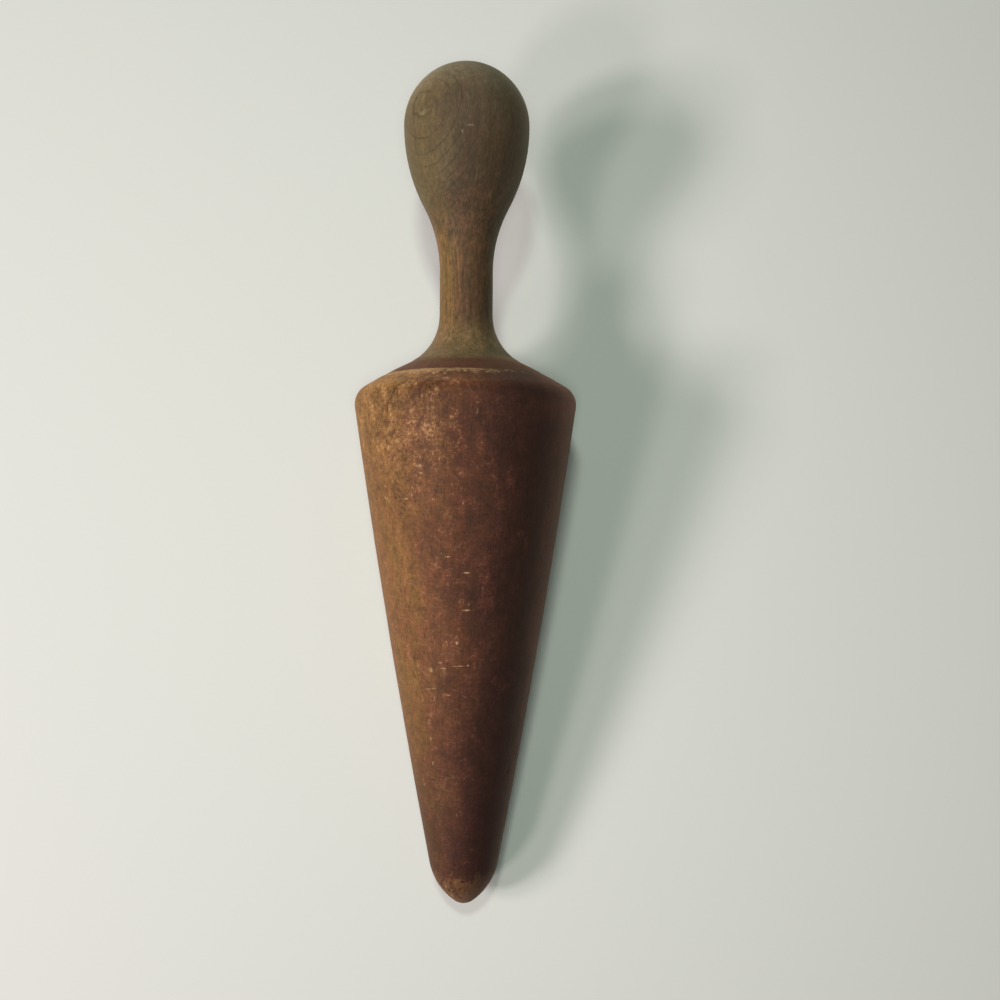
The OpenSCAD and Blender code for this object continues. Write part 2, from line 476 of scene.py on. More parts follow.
# %% Lay the piece down in metres and give it its wood
scale = add(lathe, "CombineXYZ", [MM, MM, MM])
tilt = add(lathe, "CombineXYZ", [given["Lie turn"]])
tilt = add(lathe, "EulerToRotation", [tilt])
laid = add(
    lathe, "Transform",
    {"Geometry": worn, "Translation": given["Tip"], "Rotation": tilt, "Scale": scale},
)
laid = add(lathe, "SetShadeSmooth", [laid], domain="FACE")
fold = add(lathe, "InputMeshEdgeAngle", out="Unsigned Angle")
fold = add(lathe, "Compare", [fold, math.radians(40)], operation="GREATER_THAN")
laid = add(lathe, "SetShadeSmooth", [laid, fold, False], domain="EDGE")
real = add(lathe, "RealizeInstances", [laid])
finished = add(lathe, "SetMaterial", [real, None, given["Material"]])
lathe.nodes.new("NodeGroupOutput")
lathe.links.new(finished, lathe.nodes["Group Output"].inputs[0])
print("the lathe has", len(lathe.nodes), "nodes")


# %% [markdown]
# ## Solid wood
# Grain runs through a piece of wood, not over it: the lathe cuts through growth rings, and each cut
# shows as a line or an oval. A painted skin would look the same all round, so the wood is made as a
# solid instead, from Object coordinates that are turned to the standing frame in millimetres. Every
# pattern then has its real size, and it runs on unbroken over every curve.

# %% Turn a hex colour into a linear one
def colour(code):
    """An sRGB hex colour as the linear RGBA that Blender's sockets take."""
    parts = [int(code[i:i + 2], 16) / 255 for i in (1, 3, 5)]
    return [p / 12.92 if p <= 0.04045 else ((p + 0.055) / 1.055) ** 2.4 for p in parts] + [1.0]


# %% Stand the masher up inside a material
def standing(tree):
    """The point in the standing frame in mm, its height, and its place and way out from the axis."""
    here = add(tree, "TexCoord", out="Object")
    turned = [here, tuple(tip), (lie_turn, 0, 0), (MM, MM, MM)]
    point = add(tree, "Mapping", turned, vector_type="TEXTURE")
    flat = add(tree, "VectorMath", [point, (1, 1, 0)], operation="MULTIPLY")
    way = add(tree, "VectorMath", [flat], operation="NORMALIZE")
    return {"point": point, "flat": flat, "way": way, "height": add(tree, "SeparateXYZ", [point], out="Z")}


def way_to(degrees):
    """The level unit vector that points out of the axis at an angle."""
    turn = math.radians(degrees)
    return (math.sin(turn), -math.cos(turn), 0)


def facing(tree, at, degrees):
    """1 on the side of the piece at that angle, falling to -1 on the far side."""
    return add(tree, "VectorMath", [at["way"], way_to(degrees)], operation="DOT_PRODUCT", out="Value")


def blobs(tree, vector, size, detail=2.0, roughness=0.5):
    """Cloudy noise, mostly 0.3 to 0.7, with blobs of about `size` in mm along X, Y and Z."""
    scaled = add(tree, "VectorMath", [vector, tuple(1 / s for s in size)], operation="MULTIPLY")
    noise = {"Vector": scaled, "Scale": 1.0, "Detail": detail, "Roughness": roughness}
    return add(tree, "TexNoise", noise, out="Fac")


def mixed(tree, value, parts):
    """A value with others added to it, each centred on 0.5 and times its strength."""
    for part, strength in parts:
        value = add(tree, "Math", [part, strength, value], operation="MULTIPLY_ADD")
        value = add(tree, "Math", [value, 0.5 * strength], operation="SUBTRACT")
    return value


# %% [markdown]
# A finish is built up like paint, one coat over another. Each coat is a value that says where it
# lies: it starts to show at one number, lies fully at the next, and covers so much of what is below.
# Then grain lightens and darkens the whole, and every coat that stands proud or is sunk adds relief.

# %% Build a finish from coats, tones and relief
def coats(tree, base, layers):
    """Lays coats over a base colour. Each is a value, where it starts, where it is full, its cover, its colour."""
    paint = colour(base)
    for value, start, full, cover, code in layers:
        mask = add(tree, "MapRange", [value, start, full, 0.0, cover], interpolation_type="SMOOTHSTEP")
        paint = add(tree, "Mix", [mask, paint, colour(code)], data_type="RGBA")
    return paint


def toned(tree, paint, tones):
    """Lightens and darkens a paint. Each tone is a value, its low and high, and the lightness at each."""
    for value, low, high, at_low, at_high in tones:
        tone = add(tree, "MapRange", [value, low, high, at_low, at_high])
        paint = add(tree, "VectorMath", {"Vector": paint, "Scale": tone}, operation="SCALE")
    return paint


def relief(tree, depth, parts):
    """A bump from values times their heights. depth is in mm."""
    height = 0.0
    for value, strength in parts:
        height = add(tree, "Math", [value, strength, height], operation="MULTIPLY_ADD")
    return add(tree, "Bump", {"Strength": 1.0, "Distance": depth * MM, "Height": height})


def wood_material(name, dust):
    """An empty material for worn wood, with its tree, its shader and the standing frame.

    dust is the colour of the sheen that loose fibres and dust give wood seen at a slant.
    """
    material = bpy.data.materials.new(name)
    material.use_nodes = True
    tree = material.node_tree
    shader = tree.nodes["Principled BSDF"]
    shader.inputs["IOR"].default_value = 1.5
    shader.inputs["Specular IOR Level"].default_value = 0.2
    shader.inputs["Sheen Weight"].default_value = 0.15
    shader.inputs["Sheen Roughness"].default_value = 0.5
    shader.inputs["Sheen Tint"].default_value = colour(dust)
    return material, tree, shader, standing(tree)


# %% [markdown]
# ## What beech looks like inside
# Both pieces look like beech: a plain, even wood with fine growth rings, each ending in a thin darker
# line, straight fibres, and short dark dashes where its rays are cut. The rings are cylinders round
# the heart of the log, so a piece is told where that heart lay. Where a ring only just grazes the
# skin, it closes into an oval, as on the upper left of the bulb.

# %% Make the inside of a beech log
def beech(tree, at, heart, lean, ring_width, first_line, wander):
    """Masks of beech's ring lines, fibres and rays.

    heart is the angle and distance of the log's middle from the axis, and lean is how far it moves
    away from the axis in each mm of height. One ring line lies at the distance first_line from it.
    """
    angle, distance = heart
    out = Vector(way_to(angle))
    shift = add(tree, "VectorMath", {"Vector": tuple(out * lean), "Scale": at["height"]}, operation="SCALE")
    middle = add(tree, "VectorMath", [tuple(out * distance), shift], operation="ADD")
    slow = add(tree, "VectorMath", [at["point"], (1 / 30, 1 / 30, 1 / 110)], operation="MULTIPLY")
    slow = add(tree, "TexNoise", {"Vector": slow, "Scale": 1.0, "Detail": 1.0}, out="Color")
    slow = add(tree, "VectorMath", [slow, (0.5, 0.5, 0.5)], operation="SUBTRACT")
    slow = add(tree, "VectorMath", [slow, (wander, wander, 0)], operation="MULTIPLY")
    spot = add(tree, "VectorMath", [at["flat"], slow], operation="ADD")
    away = add(tree, "VectorMath", [spot, middle], operation="DISTANCE", out="Value")
    away = mixed(tree, away, [(blobs(tree, at["point"], (2.5, 2.5, 5), detail=3.0), 0.5)])
    age = add(tree, "Math", [away, 1 / ring_width, -first_line / ring_width], operation="MULTIPLY_ADD")
    season = add(tree, "Math", [age], operation="FRACT")
    late = add(tree, "MapRange", [season, 0.80, 0.96, 0.0, 1.0], interpolation_type="SMOOTHSTEP")
    end = add(tree, "MapRange", [season, 0.96, 1.0, 1.0, 0.0])
    rings = add(tree, "Math", [late, end], operation="MULTIPLY")
    fibres = blobs(tree, at["point"], (0.5, 0.5, 6), detail=3.0, roughness=0.65)
    rays = blobs(tree, at["point"], (0.45, 0.45, 2.2), detail=1.0)
    rays = add(tree, "MapRange", [rays, 0.58, 0.68, 0.0, 1.0], interpolation_type="SMOOTHSTEP")
    return rings, fibres, rays


# %% Draw the scratches that can be told apart
def scratches(tree, at, places):
    """A mask of scratches. Each has an angle, height, length, width, tilt from level, and strength."""
    mask = 0.0
    for degrees, height, length, width, tilt, strength in places:
        side = way_to(degrees + 90)
        along = add(tree, "VectorMath", [at["point"], side], operation="DOT_PRODUCT", out="Value")
        spot = add(tree, "CombineXYZ", [along, at["height"], 0.0])
        outline = [spot, (0, height, 0), (0, 0, math.radians(tilt)), (length / 2, width / 2, 1)]
        spot = add(tree, "Mapping", outline, vector_type="TEXTURE")
        near = add(tree, "TexGradient", [spot], out="Fac", gradient_type="SPHERICAL")
        front = add(tree, "Math", [facing(tree, at, degrees), 0.5], operation="GREATER_THAN")
        cut = add(tree, "Math", [near, front], operation="MULTIPLY")
        cut = add(tree, "Math", [cut, strength], operation="MULTIPLY")
        mask = add(tree, "Math", [cut, mask], operation="MAXIMUM")
    return mask


# %% [markdown]
# ## The cone: red-brown stained beech, worn
# Stain sinks into end grain and soft patches, so it is never even. This cone goes from golden brown
# on the left through red-brown in front to nearly black-brown on the right, which is painted light
# and shade from windows on the left, with some real wear on the left too. It gets darker towards the
# tip, and painted shade darkens the tip just right of the front. Chips have left it flecked, most of
# all high up on the left. The crisp edge of the shoulder is rubbed to bare wood, and the ring inside
# it stays a darker red-brown. Painted light lightens the bevel and the right end of the shoulder.

# %% List the cone's scratches
# angle in degrees, height, length and width in mm, tilt in degrees from level, strength
CONE_SCRATCHES = [
    (0.9, 99.1, 3.2, 0.8, 0, 1.1),
    (1.1, 88.7, 4.0, 0.8, 3, 1.0),
    (2.5, 90.3, 0.8, 1.4, 0, 0.9),
    (-5.8, 79.6, 1.8, 2.0, 0, 0.8),
    (-18.9, 73.8, 2.2, 0.8, 0, 0.9),
    (-16.8, 72.2, 3.0, 0.7, -2, 0.9),
    (-4.6, 72.9, 6.5, 0.6, 3, 0.9),
    (2.5, 73.1, 1.0, 1.6, 80, 0.8),
    (-26.3, 71.5, 2.6, 2.6, 20, 0.7),
    (-27.9, 66.1, 6.0, 0.7, 6, 0.8),
    (-25.6, 63.4, 2.8, 0.9, 70, 0.8),
    (-14.0, 64.6, 5.0, 0.6, -4, 0.7),
    (-33.1, 51.6, 1.4, 2.6, -15, 0.7),
    (-33.4, 44.2, 1.2, 2.4, -10, 0.8),
    (-25.4, 128.3, 5.0, 1.8, 5, 0.8),
    (-24.0, 126.4, 2.6, 1.2, -20, 0.8),
    (-4.0, 133.5, 2.6, 2.8, 60, 0.5),
    (-34.6, 119.3, 2.4, 0.7, 4, 1.0),
    (-51.4, 119.6, 2.4, 0.7, 12, 1.0),
    (-10.2, 103.5, 3.0, 0.6, 0, 0.9),
    (5.6, 143.0, 5.0, 0.6, 80, 0.7),
    (8.4, 62.0, 34.0, 0.7, 89, 0.25),
]


# %% Make the cone's wood
def stained_beech():
    material, tree, shader, at = wood_material("red_brown_stained_beech", "#DCAE8C")
    height = at["height"]
    rings, fibres, rays = beech(
        tree, at, heart=(98, 74), lean=0.0, ring_width=2.1, first_line=74.0, wander=9.0,
    )
    cloud = blobs(tree, at["point"], (10, 10, 18), detail=3.0)
    patches = blobs(tree, at["point"], (4, 4, 8), detail=3.0, roughness=0.6)
    mottle = blobs(tree, at["point"], (2.6, 2.6, 3.0), detail=4.0, roughness=0.8)
    grit = blobs(tree, at["point"], (0.9, 0.9, 1.0), detail=3.0, roughness=0.8)
    sanded = blobs(tree, at["point"], (6, 6, 0.5), detail=2.0)

    # lit is painted light and shade: lighter towards the windows on the left, darker on the right
    lit = mixed(tree, facing(tree, at, -80), [(cloud, 0.7), (mottle, 0.3)])
    golden = mixed(tree, facing(tree, at, -78), [(patches, 0.9), (mottle, 0.6)])
    upper = add(tree, "MapRange", [height, 80.0, 140.0, -0.45, 0.0])
    golden = add(tree, "Math", [golden, upper], operation="ADD")
    low = mixed(tree, height, [(cloud, 14.0)])
    ruddy = mixed(tree, patches, [(grit, 0.4), (cloud, -0.6)])
    ruddy = add(tree, "Math", [lit, 0.12, ruddy], operation="MULTIPLY_ADD")

    # flecks lie densest high on the left, thinner on the rest of the left, and hardly on the right
    crowd = add(tree, "MapRange", [height, 98.0, 140.0, 0.0, 1.0], interpolation_type="SMOOTHSTEP")
    here = add(
        tree, "MapRange", [facing(tree, at, -38), 0.72, 0.95, 0.0, 0.13], interpolation_type="SMOOTHSTEP",
    )
    crowd = add(tree, "Math", [crowd, here], operation="MULTIPLY")
    sparse = add(tree, "MapRange", [facing(tree, at, -45), 0.1, 0.8, -0.22, -0.10])
    flecks = mixed(tree, grit, [(mottle, 0.5), (patches, 0.5)])
    pores = add(tree, "Math", [flecks, crowd], operation="SUBTRACT")
    flecks = add(tree, "Math", [flecks, crowd], operation="ADD")
    flecks = add(tree, "Math", [flecks, sparse], operation="ADD")

    # the edge wanders a little, and below it the bevel is rubbed in patches on the camera's side
    off_edge = add(tree, "Math", [height, edge_height - 0.4], operation="SUBTRACT")
    off_edge = mixed(tree, off_edge, [(mottle, 0.8)])
    on_edge = add(tree, "Math", [off_edge], operation="ABSOLUTE")
    thin_edge = add(tree, "MapRange", [on_edge, 0.05, 0.32, 1.0, 0.0], interpolation_type="SMOOTHSTEP")
    front = add(tree, "MapRange", [facing(tree, at, -15), 0.55, 0.95, 0.15, 0.9])
    broken = mixed(tree, front, [(grit, 1.8), (patches, 1.0)])
    thin_edge = add(tree, "Math", [thin_edge, broken], operation="MULTIPLY")
    wide_edge = add(tree, "MapRange", [off_edge, -2.6, -0.5, 0.0, 1.0], interpolation_type="SMOOTHSTEP")
    above = add(tree, "MapRange", [off_edge, 0.0, 0.2, 1.0, 0.0])
    rubbed = mixed(tree, facing(tree, at, -24), [(patches, 1.8), (grit, 1.8)])
    for part in (above, rubbed):
        wide_edge = add(tree, "Math", [wide_edge, part], operation="MULTIPLY")
    lip = mixed(tree, height, [(mottle, 0.6)])
    lip = add(tree, "Math", [lip, float(seat_height)], operation="SUBTRACT")
    bevel = add(tree, "MapRange", [off_edge, -6.5, -3.4, 0.0, 1.0], interpolation_type="SMOOTHSTEP")
    bevel = add(tree, "Math", [bevel, above], operation="MULTIPLY")

    nose_end = mixed(tree, height, [(mottle, 12.0), (patches, 8.0)])
    on_nose = add(tree, "MapRange", [nose_end, 11.5, 9.5, 0.0, 1.0], interpolation_type="SMOOTHSTEP")
    worn_nose = add(tree, "MapRange", [lit, -0.5, 0.4, 0.35, 1.0])
    on_nose = add(tree, "Math", [on_nose, worn_nose], operation="MULTIPLY")
    splits = blobs(tree, at["point"], (2.2, 2.2, 3.5), detail=2.0)
    splits = add(tree, "Math", [splits, 0.5], operation="SUBTRACT")
    splits = add(tree, "Math", [splits], operation="ABSOLUTE")
    splits = add(tree, "MapRange", [splits, 0.005, 0.035, 1.0, 0.0])
    splits = add(tree, "Math", [splits, on_nose], operation="MULTIPLY")
    cuts = mixed(tree, scratches(tree, at, CONE_SCRATCHES), [(grit, 0.9)])
    mark = add(tree, "Attribute", out="Fac", attribute_name="mark_tone")
    mark = mixed(tree, mark, [(grit, 1.0)])

    # short curved scuffs: lines along which a soft noise has one value, broken up by the grit
    loops = blobs(tree, at["point"], (5, 5, 5), detail=1.5)
    loops = add(tree, "Math", [loops, 0.5], operation="SUBTRACT")
    loops = add(tree, "Math", [loops], operation="ABSOLUTE")
    scuffs = add(tree, "MapRange", [loops, 0.004, 0.016, 1.0, 0.0])
    pieces = add(tree, "MapRange", [mixed(tree, patches, [(grit, 0.8)]), 0.44, 0.58, 0.0, 1.0])
    rubbed = add(tree, "MapRange", [lit, -0.3, 0.3, 0.1, 1.0])
    for part in (pieces, rubbed):
        scuffs = add(tree, "Math", [scuffs, part], operation="MULTIPLY")
    haze = mixed(tree, crowd, [(mottle, 0.30), (patches, 0.15)])

    # painted light: the bevel is made more golden here, and front_bevel lightens its front
    golden = add(tree, "Math", [bevel, 0.25, golden], operation="MULTIPLY_ADD")
    far_side = mixed(tree, facing(tree, at, 100), [(cloud, 0.5)])
    front_bevel = mixed(tree, facing(tree, at, -18), [(patches, 1.2), (grit, 0.8), (mottle, 0.6)])
    front_bevel = add(tree, "Math", [front_bevel, bevel], operation="MULTIPLY")
    # painted light: the right end of the shoulder, seen at a slant, is toned much lighter
    shoulder = add(tree, "MapRange", [height, 138.0, 146.0, 0.0, 1.0], interpolation_type="SMOOTHSTEP")
    painted_shoulder_light = add(tree, "MapRange", [facing(tree, at, 85), 0.5, 1.0, 0.0, 1.0])
    painted_shoulder_light = add(tree, "Math", [painted_shoulder_light, shoulder], operation="MULTIPLY")
    # painted shade: the tip just right of the front is toned darker
    painted_tip_shade = add(tree, "MapRange", [low, 75.0, 25.0, 0.0, 1.0], interpolation_type="SMOOTHSTEP")
    beside = mixed(tree, facing(tree, at, 24), [(mottle, 0.08)])
    beside = add(tree, "MapRange", [beside, 0.88, 0.99, 0.0, 1.0], interpolation_type="SMOOTHSTEP")
    painted_tip_shade = add(tree, "Math", [painted_tip_shade, beside], operation="MULTIPLY")

    # the four coats on lit are painted light and shade; golden is partly the same painted light, partly wear
    paint = coats(tree, "#331B16", [
        (lit, -0.45, 0.05, 1.0, "#43261C"),
        (lit, -0.15, 0.35, 1.0, "#54301E"),
        (lit, 0.18, 0.70, 1.0, "#6B4428"),
        (lit, 0.50, 0.95, 1.0, "#7A552F"),
        (far_side, 0.55, 0.95, 0.8, "#573429"),
        (ruddy, 0.58, 0.72, 0.30, "#653A28"),
        (golden, 0.75, 1.15, 0.85, "#87602C"),
        (haze, 0.06, 0.22, 0.22, "#916A42"),
        (pores, 0.34, 0.24, 0.4, "#4A2E1D"),
        (flecks, 0.60, 0.70, 0.44, "#A08058"),
        (low, 72.0, 14.0, 0.60, "#44231E"),
        (scuffs, 0.0, 1.0, 0.20, "#94765A"),
        (on_nose, 0.0, 1.0, 0.85, "#7F5737"),
        (splits, 0.1, 0.8, 0.7, "#4A2217"),
        (front_bevel, 0.75, 1.25, 0.45, "#6C4830"),
        (off_edge, 0.05, 0.45, 0.9, "#5C3423"),
        (lip, -1.8, -0.5, 0.85, "#6E5A3A"),
        (thin_edge, 0.3, 1.0, 0.35, "#A17A52"),
        (wide_edge, 0.50, 0.90, 0.55, "#A5815A"),
        (cuts, 0.25, 0.75, 0.75, "#A48260"),
        (mark, 0.30, 0.60, 0.8, "#A98560"),
        (mark, -0.30, -0.70, 0.9, "#1F120D"),
    ])
    # the stain took redder and yellower from place to place
    hue = mixed(tree, blobs(tree, at["point"], (4, 4, 8), detail=2.0), [(mottle, 0.3)])
    hue = add(tree, "MapRange", [hue, 0.3, 0.7, 0.0, 1.0])
    hue = add(tree, "Mix", [hue, (0.96, 1.01, 0.97, 1), (1.04, 0.99, 1.03, 1)], data_type="RGBA")
    paint = add(tree, "VectorMath", [paint, hue], operation="MULTIPLY")
    # painted light lightens the bevel, and the wood gets darker towards the tip
    paint = toned(tree, paint, [
        (bevel, 0.0, 1.0, 1.0, 1.55),
        (painted_shoulder_light, 0.0, 1.0, 1.0, 1.9),
        (low, 8.0, 78.0, 0.66, 1.0),
        (painted_tip_shade, 0.0, 1.0, 1.0, 0.70),
    ])
    # the grain shows fully on the left, where lit paints light, and at three quarters on the right
    grained = toned(tree, paint, [
        (patches, 0.3, 0.7, 0.89, 1.11),
        (mottle, 0.2, 0.8, 0.62, 1.50),
        (grit, 0.2, 0.8, 0.64, 1.44),
        (fibres, 0.25, 0.75, 0.87, 1.13),
        (sanded, 0.3, 0.7, 0.91, 1.09),
        (rings, 0.0, 1.0, 1.02, 0.88),
        (rays, 0.0, 1.0, 1.01, 0.92),
    ])
    rough = add(tree, "MapRange", [lit, -0.5, 0.4, 0.75, 1.0])
    paint = add(tree, "Mix", [rough, paint, grained], data_type="RGBA")
    tree.links.new(paint, shader.inputs["Base Color"])
    gloss = add(tree, "MapRange", [mottle, 0.3, 0.7, 0.60, 0.76])
    tree.links.new(gloss, shader.inputs["Roughness"])
    bump = relief(tree, 0.06, [(fibres, 0.4), (mottle, 0.6), (rings, -0.2), (rays, -0.3), (cuts, -0.3)])
    tree.links.new(bump, shader.inputs["Normal"])
    return material


cone_wood = stained_beech()
print("the cone's wood has", len(cone_wood.node_tree.nodes), "nodes")

# %% [markdown]
# ## The handle: oiled beech, darkened by hands
# The handle was never stained. Oil and hands have turned its bulb an olive brown, greyer on top,
# while the neck is warmer, with reddish streaks along its fibres. The left of the handle is painted
# lighter and golden and the right of the neck darker, as painted light and shade, and the top of the
# bulb is made paler partly with painted light. Its foot is paler.

# %% Make the handle's wood
HANDLE_SCRATCHES = [
    (10, 210.6, 5.5, 0.8, 82, 0.7),
    (26.4, 207.6, 1.8, 0.7, 10, 0.8),
    (3.4, 224.1, 4.2, 1.0, -4, 1.0),
    (-4.4, 222.4, 1.3, 2.4, 0, 1.0),
    (-43.0, 228.8, 5.4, 2.2, 15, 1.2),
]


def handled_beech():
    material, tree, shader, at = wood_material("hand_darkened_beech", "#DCD2B4")
    height = at["height"]
    rings, fibres, rays = beech(
        tree, at, heart=(136, 15.4), lean=0.13, ring_width=1.35, first_line=62.15, wander=0.8,
    )
    cloud = blobs(tree, at["point"], (8, 8, 14), detail=3.0)
    mottle = blobs(tree, at["point"], (1.8, 1.8, 3.4), detail=4.0, roughness=0.8)
    grit = blobs(tree, at["point"], (0.9, 0.9, 1.6), detail=2.0, roughness=0.7)
    streaks = blobs(tree, at["point"], (0.8, 0.8, 7), detail=3.0, roughness=0.7)
    bands = blobs(tree, at["point"], (2.4, 2.4, 30), detail=2.0)

    waver = mixed(tree, height, [(cloud, 18.0), (streaks, 6.0)])
    # lit paints light: the side of the handle towards the windows is painted lighter
    lit = mixed(tree, facing(tree, at, -75), [(cloud, 0.6), (mottle, 0.3)])
    left = add(tree, "MapRange", [lit, 0.25, 1.0, 0.0, 1.0], interpolation_type="SMOOTHSTEP")
    thin = add(tree, "MapRange", [waver, 202.0, 190.0, 0.0, 1.0], interpolation_type="SMOOTHSTEP")
    thin_left = mixed(tree, left, [(streaks, 0.9), (bands, 1.4)])
    thin_left = add(tree, "Math", [thin_left, thin], operation="MULTIPLY")
    ruddy = mixed(tree, streaks, [(bands, 0.7), (mottle, 0.4), (grit, 0.4)])
    reddish = add(tree, "MapRange", [waver, 216.0, 200.0, 0.70, 1.0], interpolation_type="SMOOTHSTEP")
    reddish = add(tree, "Math", [reddish, ruddy], operation="MULTIPLY")
    # painted shade on the right of the neck
    shade = mixed(tree, facing(tree, at, 70), [(cloud, 0.5), (bands, 0.6)])
    slim = add(tree, "MapRange", [height, 212.0, 198.0, 0.0, 1.0], interpolation_type="SMOOTHSTEP")
    shade = add(tree, "Math", [shade, slim], operation="MULTIPLY")
    cuts = mixed(tree, scratches(tree, at, HANDLE_SCRATCHES), [(grit, 0.9)])
    mark = add(tree, "Attribute", out="Fac", attribute_name="mark_tone")
    mark = mixed(tree, mark, [(grit, 1.0)])

    far_side = mixed(tree, facing(tree, at, 100), [(cloud, 0.5)])
    paint = coats(tree, "#4D3B2A", [
        (height, 216.0, 238.0, 0.6, "#655440"),
        (left, 0.0, 1.0, 0.85, "#665637"),
        # the top of the bulb is paler and greyer, partly with painted light
        (height, 232.0, 246.5, 0.9, "#86775C"),
        (waver, 208.0, 190.0, 0.85, "#5A4029"),
        (thin_left, 0.1, 0.9, 0.9, "#7B5D32"),
        (reddish, 0.46, 0.66, 0.28, "#63402A"),
        (shade, 0.45, 0.90, 0.35, "#3F2C22"),
        (far_side, 0.60, 1.00, 0.6, "#5A4630"),
        (height, 174.0, 165.0, 0.85, "#786040"),
        (cuts, 0.25, 1.00, 0.5, "#8F7C62"),
        (mark, 0.30, 0.60, 0.4, "#8B775B"),
        (mark, -0.30, -0.60, 0.8, "#2A2118"),
    ])
    ring_lines = mixed(tree, cloud, [(streaks, 0.8)])
    ring_lines = add(tree, "MapRange", [ring_lines, 0.35, 0.60, 0.1, 1.0])
    bulb_only = add(tree, "MapRange", [height, 196.0, 208.0, 0.10, 1.0], interpolation_type="SMOOTHSTEP")
    near_left = add(tree, "MapRange", [facing(tree, at, -55), 0.2, 0.8, 0.2, 1.0])
    for part in (rings, bulb_only, near_left):
        ring_lines = add(tree, "Math", [ring_lines, part], operation="MULTIPLY")
    # the bulb is rubbed smooth by the palm, and the neck shows its fibres
    grained = toned(tree, paint, [
        (mottle, 0.2, 0.8, 0.68, 1.34),
        (grit, 0.2, 0.8, 0.62, 1.40),
        (fibres, 0.25, 0.75, 0.74, 1.26),
        (streaks, 0.25, 0.75, 0.76, 1.24),
        (bands, 0.3, 0.7, 0.86, 1.14),
        (rays, 0.0, 1.0, 1.01, 0.86),
    ])
    grain = add(tree, "MapRange", [height, 216.0, 198.0, 0.65, 1.0], interpolation_type="SMOOTHSTEP")
    paint = add(tree, "Mix", [grain, paint, grained], data_type="RGBA")
    # painted light: the top of the bulb is toned lighter all round its rim but the front
    painted_crown_light = add(tree, "MapRange", [height, 228.0, 240.0, 0.0, 1.0], interpolation_type="SMOOTHSTEP")
    sides = add(tree, "MapRange", [facing(tree, at, 10), 0.9, 0.2, 0.0, 1.0], interpolation_type="SMOOTHSTEP")
    painted_crown_light = add(tree, "Math", [painted_crown_light, sides], operation="MULTIPLY")
    paint = toned(tree, paint, [
        (painted_crown_light, 0.0, 1.0, 1.0, 1.5),
        (ring_lines, 0.0, 1.0, 1.01, 0.58),
    ])
    hue = mixed(tree, blobs(tree, at["point"], (4, 4, 10), detail=2.0), [(bands, 0.6)])
    hue = add(tree, "MapRange", [hue, 0.3, 0.7, 0.0, 1.0])
    hue = add(tree, "Mix", [hue, (0.96, 1.01, 1.0, 1), (1.04, 0.99, 0.99, 1)], data_type="RGBA")
    paint = add(tree, "VectorMath", [paint, hue], operation="MULTIPLY")
    tree.links.new(paint, shader.inputs["Base Color"])
    gloss = add(tree, "MapRange", [mottle, 0.3, 0.7, 0.58, 0.72])
    tree.links.new(gloss, shader.inputs["Roughness"])
    bump = relief(tree, 0.05, [(fibres, 0.4), (mottle, 0.5), (ring_lines, -0.4), (rays, -0.3), (cuts, -0.3)])
    tree.links.new(bump, shader.inputs["Normal"])
    return material


handle_wood = handled_beech()
print("the handle's wood has", len(handle_wood.node_tree.nodes), "nodes")


# %% Run the lathe for one piece
def turn_piece(name, material, **sizes):
    """Runs the lathe with the given inputs and returns the result as a plain mesh object."""
    blank = bpy.data.objects.new(name + "_blank", bpy.data.meshes.new(name + "_blank"))
    bpy.context.scene.collection.objects.link(blank)
    modifier = blank.modifiers.new("lathe", "NODES")
    modifier.node_group = lathe
    wanted = {"Tip": tuple(tip), "Lie turn": lie_turn, "Material": material, "Joint height": float(seat_height)}
    wanted.update({key.replace("_", " "): value for key, value in sizes.items()})
    for item in lathe.interface.items_tree:
        if item.in_out == "INPUT" and item.name in wanted:
            modifier[item.identifier] = wanted[item.name]
    evaluated = blank.evaluated_get(bpy.context.evaluated_depsgraph_get())
    mesh = bpy.data.meshes.new_from_object(evaluated)
    bpy.data.objects.remove(blank)
    mesh.name = name
    piece = bpy.data.objects.new(name, mesh)
    bpy.context.scene.collection.objects.link(piece)
    corners = sum(len(polygon.vertices) - 2 for polygon in mesh.polygons)
    print(name, "has", corners, "triangles")
    return piece


cone = turn_piece(
    "turned_cone", cone_wood, Outline=cone_outline, Marks=cone_marks,
    Crowded_at=math.radians(-40), Crowding=0.75, Dents_per_mm2=0.006, Dent_depth=0.12, Seed=7,
    Worn_edge_height=float(edge_height), Edge_wear=0.3,
)
handle = turn_piece(
    "turned_handle", handle_wood, Outline=handle_outline, Marks=handle_marks,
    Dents_per_mm2=0.003, Dent_depth=0.06, Seed=21, Unevenness=0.12,
)
for item in (cone_outline, handle_outline, cone_marks, handle_marks):
    bpy.data.objects.remove(item)

# %% Hand the pieces to the frame
for piece, node in ((cone, "cone"), (handle, "handle")):
    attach(piece, "root")
    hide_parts(node)

# %% [markdown]
# ## The table
# A plain pale floor.

# %% Make the floor
FLOOR_HALF = 0.9
floor_mesh = bpy.data.meshes.new("floor")
floor_corners = [(FLOOR_HALF * x, FLOOR_HALF * y, 0) for x, y in ((-1, -1), (1, -1), (1, 1), (-1, 1))]
floor_mesh.from_pydata(floor_corners, [], [(0, 1, 2, 3)])
floor = bpy.data.objects.new("floor", floor_mesh)
bpy.context.scene.collection.objects.link(floor)
paper = bpy.data.materials.new("white_paper")
paper.use_nodes = True
shader = paper.node_tree.nodes["Principled BSDF"]
shader.inputs["Base Color"].default_value = colour("#E3E2DC")
shader.inputs["Roughness"].default_value = 0.9
shader.inputs["Specular IOR Level"].default_value = 0.1
floor.data.materials.append(paper)


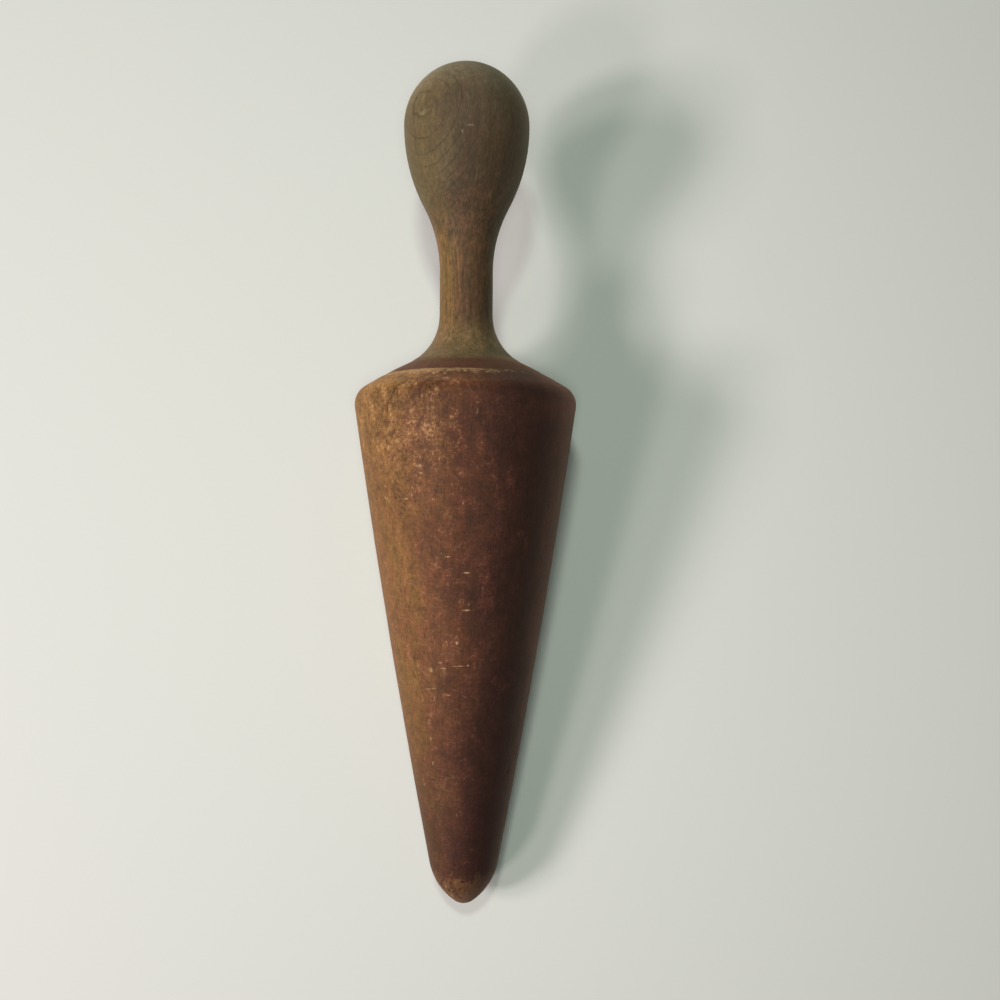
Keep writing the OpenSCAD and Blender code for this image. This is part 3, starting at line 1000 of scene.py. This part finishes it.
# %% [markdown]
# ## The light of a room
# The shadows on the table tell what light there was. Two soft shadows fall to the right and up, so
# windows stood low on the left, the nearer one in two panes. They are faintly pink beside the lamps
# of the room, which fill the windows' shadows with a greenish light: one lamp hung nearly overhead,
# because a small shadow of the bulb shows on both sides of the neck, and one was close to the
# camera, because it casts no shadow that can be seen.
# A lamp's place is given as seen from the bulb, whose shadows are the clearest ones.

# %% Place the lamps
bulb_radius = handle_line[:, 0].max()
bulb = tip + axis * float(handle_line[-1, 1] - bulb_radius) * MM
WINDOW_TINT = "#FFF5F8"
ROOM_TINT = "#EEFFF4"
LUMINANCE = Vector((0.2126, 0.7152, 0.0722))


def lamp(name, bearing, rise, wide, tall, distance, share, tint):
    """A soft lamp that faces the bulb. Its angles and the size it seems to have are in degrees.

    share is the part of full light that it gives the floor, where full light shows a colour as written.
    """
    bearing, rise = math.radians(bearing), math.radians(rise)
    way = Vector((math.cos(bearing) * math.cos(rise), math.sin(bearing) * math.cos(rise), math.sin(rise)))
    data = bpy.data.lights.new(name, "AREA")
    data.shape = "RECTANGLE"
    data.size = math.radians(wide) * distance
    data.size_y = math.radians(tall) * distance
    data.color = colour(tint)[:3]
    data.energy = share * (math.pi * distance) ** 2 / way.z / LUMINANCE.dot(Vector(data.color))
    item = bpy.data.objects.new(name, data)
    bpy.context.scene.collection.objects.link(item)
    aim = way.to_track_quat("Z", "Y").to_matrix().to_4x4()
    item.matrix_world = Matrix.Translation(bulb + way * distance) @ aim
    return share


shares = [
    lamp("window_pane_near", 203, 37.5, 7, 11, 1.2, 0.21, WINDOW_TINT),
    lamp("window_pane_far", 190, 38, 9, 10, 1.2, 0.14, WINDOW_TINT),
    lamp("second_window", 228.5, 38, 8, 8, 1.2, 0.12, WINDOW_TINT),
    lamp("overhead_lamp", 110, 78.3, 6, 7, 0.8, 0.27, ROOM_TINT),
    lamp("lamp_by_camera", 269.5, 64, 8, 8, 0.42, 0.17, ROOM_TINT),
]
WORLD_SHARE = 0.04
print("full light is 1, and the lamps give the floor", round(sum(shares) + WORLD_SHARE, 2))

# %% [markdown]
# ## What is behind the table
# From a low side view the camera sees past the table. It meets a plain pale backdrop there, which is
# only for the camera's own rays: the light that the room gives the wood stays faint.

# %% Light the room a little and hang up a backdrop
world = bpy.data.worlds.new("room")
bpy.context.scene.world = world
world.use_nodes = True
background = world.node_tree.nodes["Background"]
seen = add(world.node_tree, "LightPath", out="Is Camera Ray")
seen_colour = add(world.node_tree, "Mix", [seen, colour(ROOM_TINT), colour("#C9C9C3")], data_type="RGBA")
seen_strength = add(world.node_tree, "MapRange", [seen, 0.0, 1.0, WORLD_SHARE, 1.0])
world.node_tree.links.new(seen_colour, background.inputs["Color"])
world.node_tree.links.new(seen_strength, background.inputs["Strength"])
bpy.context.scene.view_settings.view_transform = "Standard"

# %% Finish
bpy.context.view_layer.update()
